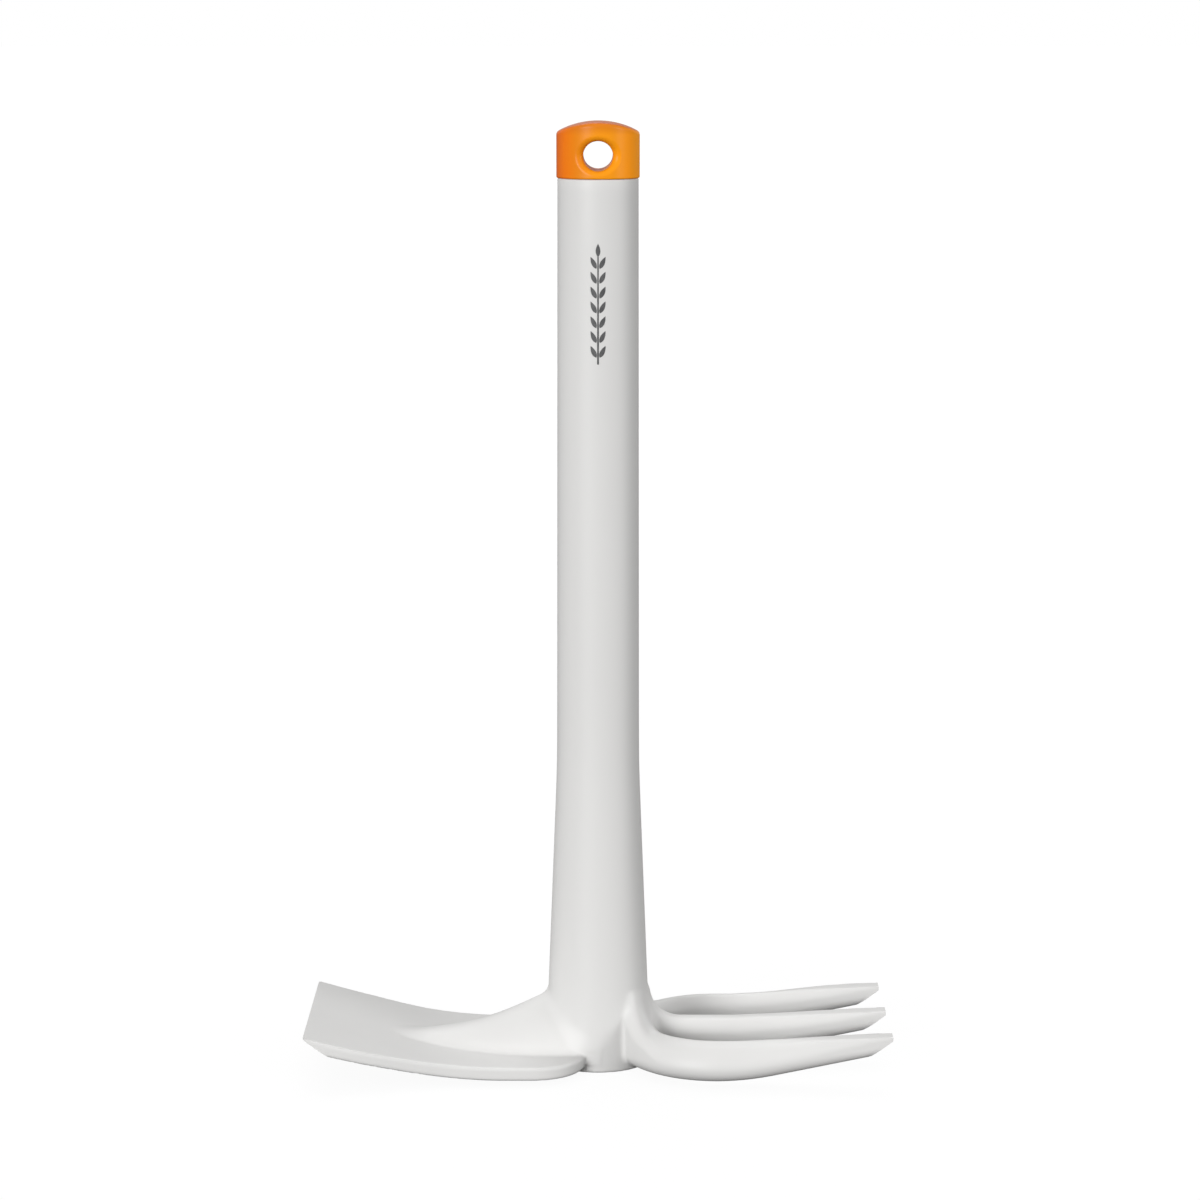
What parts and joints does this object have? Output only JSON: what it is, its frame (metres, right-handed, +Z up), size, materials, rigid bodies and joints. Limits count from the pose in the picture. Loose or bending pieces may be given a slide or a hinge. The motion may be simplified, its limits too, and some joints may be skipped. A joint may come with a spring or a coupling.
{
  "type": "grub hoe",
  "caption": "Short hand grub hoe: a moulded plastic handle with a broad hoe blade on one side, a cultivator fork on the other, and an end cap with a hanging hole.",
  "frame": {"origin": "centre of the flat foot under the handle, which is the centre of the base of the part's box", "axes": "+Z up the handle to the end cap, +X from the handle towards the fork's tines, -X towards the hoe blade, Y across the tool"},
  "size_m": [0.191, 0.073, 0.3096],
  "materials": {
    "body_plastic": "light grey-white glass-fibre-reinforced plastic, satin moulded skin",
    "cap_plastic": "orange plastic, semi-gloss moulded skin"
  },
  "bodies": {
    "root": {"tool_body": "body_plastic", "end_cap": "cap_plastic"}
  },
  "joints": []
}
